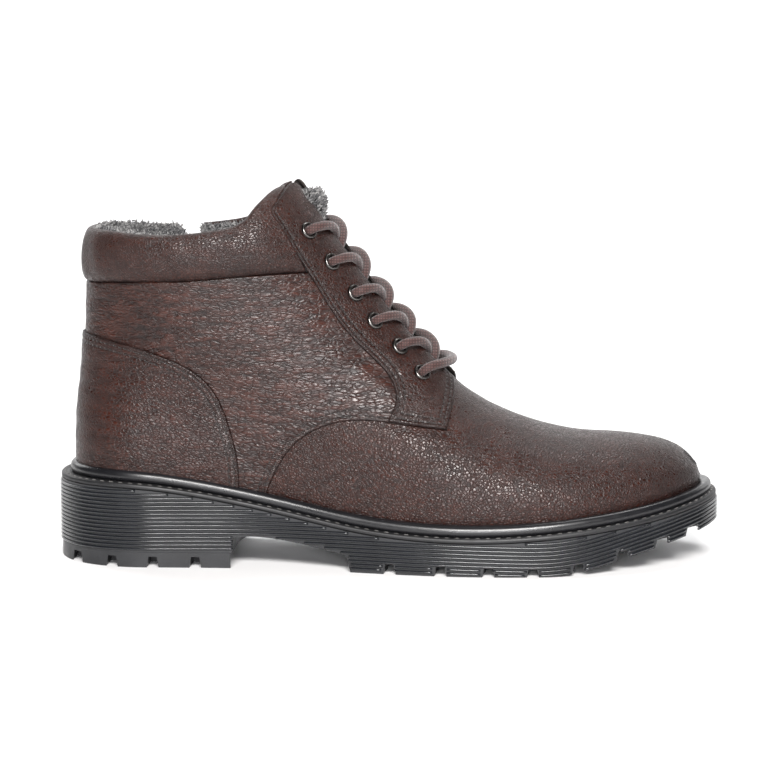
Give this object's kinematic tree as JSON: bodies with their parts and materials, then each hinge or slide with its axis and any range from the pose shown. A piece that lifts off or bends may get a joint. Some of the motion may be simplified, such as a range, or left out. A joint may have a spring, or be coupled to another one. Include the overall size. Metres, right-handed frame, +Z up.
{
  "type": "insulated ankle boot",
  "caption": "Right lace-up ankle boot with fleece lining, padded collar, inner-side zip, eyelets, rubber welt and lugged sole.",
  "frame": {"origin": "centre of the box round the boot, on the ground", "axes": "+X to the toe, +Y to the inner (medial) side, +Z up"},
  "size_m": [0.3063, 0.1123, 0.1737],
  "materials": {
    "leather": "pebbled full-grain leather, dark red-brown, semi-gloss",
    "facing": "dark woven facing",
    "fleece": "grey and black mottled fleece",
    "felt": "insulating felt",
    "stiffener": "thermoplastic stiffener board",
    "board": "cellulose insole board",
    "cork": "granulated cork",
    "steel": "tempered steel strip",
    "eyelet": "gunmetal",
    "lace": "round braided waxed cord",
    "tip": "moulded plastic tip",
    "tape": "woven zip tape",
    "coil": "nylon coil",
    "zip_metal": "gunmetal",
    "sole": "black moulded rubber, satin",
    "welt": "black rubber, semi-gloss"
  },
  "bodies": {
    "boot": {"vamp": "leather", "quarter_lateral": "leather", "quarter_medial_front": "leather", "quarter_medial_rear": "leather", "eyestay_lateral": "leather", "eyestay_medial": "leather", "heel_counter_cover": "leather", "collar_lateral": "leather", "collar_medial_front": "leather", "collar_medial_rear": "leather", "tongue_root": "leather", "facing_lateral": "facing", "facing_medial": "facing", "lining_vamp": "fleece", "lining_lateral": "fleece", "lining_medial_front": "fleece", "lining_medial_rear": "fleece", "footbed": "fleece", "zip_guard": "fleece", "insulation_vamp": "felt", "insulation_lateral": "felt", "insulation_medial_front": "felt", "insulation_medial_rear": "felt", "toe_puff": "stiffener", "heel_counter": "stiffener", "insole_board": "board", "cork_filler": "cork", "shank": "steel", "eyelets_lateral": "eyelet", "eyelets_medial": "eyelet", "lace": "lace", "lace_tips": "tip", "zip_tape_front": "tape", "zip_tape_rear": "tape", "zip_coil_front": "coil", "zip_coil_rear": "coil", "zip_stops": "zip_metal", "outsole": "sole", "heel_top_lift": "sole", "welt": "welt", "rand": "welt"},
    "zip_slider": {"zip_slider": "zip_metal"},
    "zip_pull": {"zip_pull": "zip_metal"},
    "tongue": {"tongue_face": "leather", "tongue_fleece": "fleece"}
  },
  "joints": [
    {"name": "zip_slide", "type": "slide", "parent": "boot", "child": "zip_slider", "axis": [0.1475, -0.0901, -0.9849], "range_m": [0, 0.066]},
    {"name": "zip_pull_swing", "type": "hinge", "parent": "zip_slider", "child": "zip_pull", "pos_m": [-0.09464, 0.04358, 0.13761], "axis": [0.9831, 0.1225, 0.136], "range_deg": [0, 120]},
    {"name": "tongue_fold", "type": "hinge", "parent": "boot", "child": "tongue", "pos_m": [0.01676, 0, 0.08766], "axis": [0, -1, 0], "range_deg": [0, 12], "stiffness_Nm_per_rad": 0.3}
  ]
}
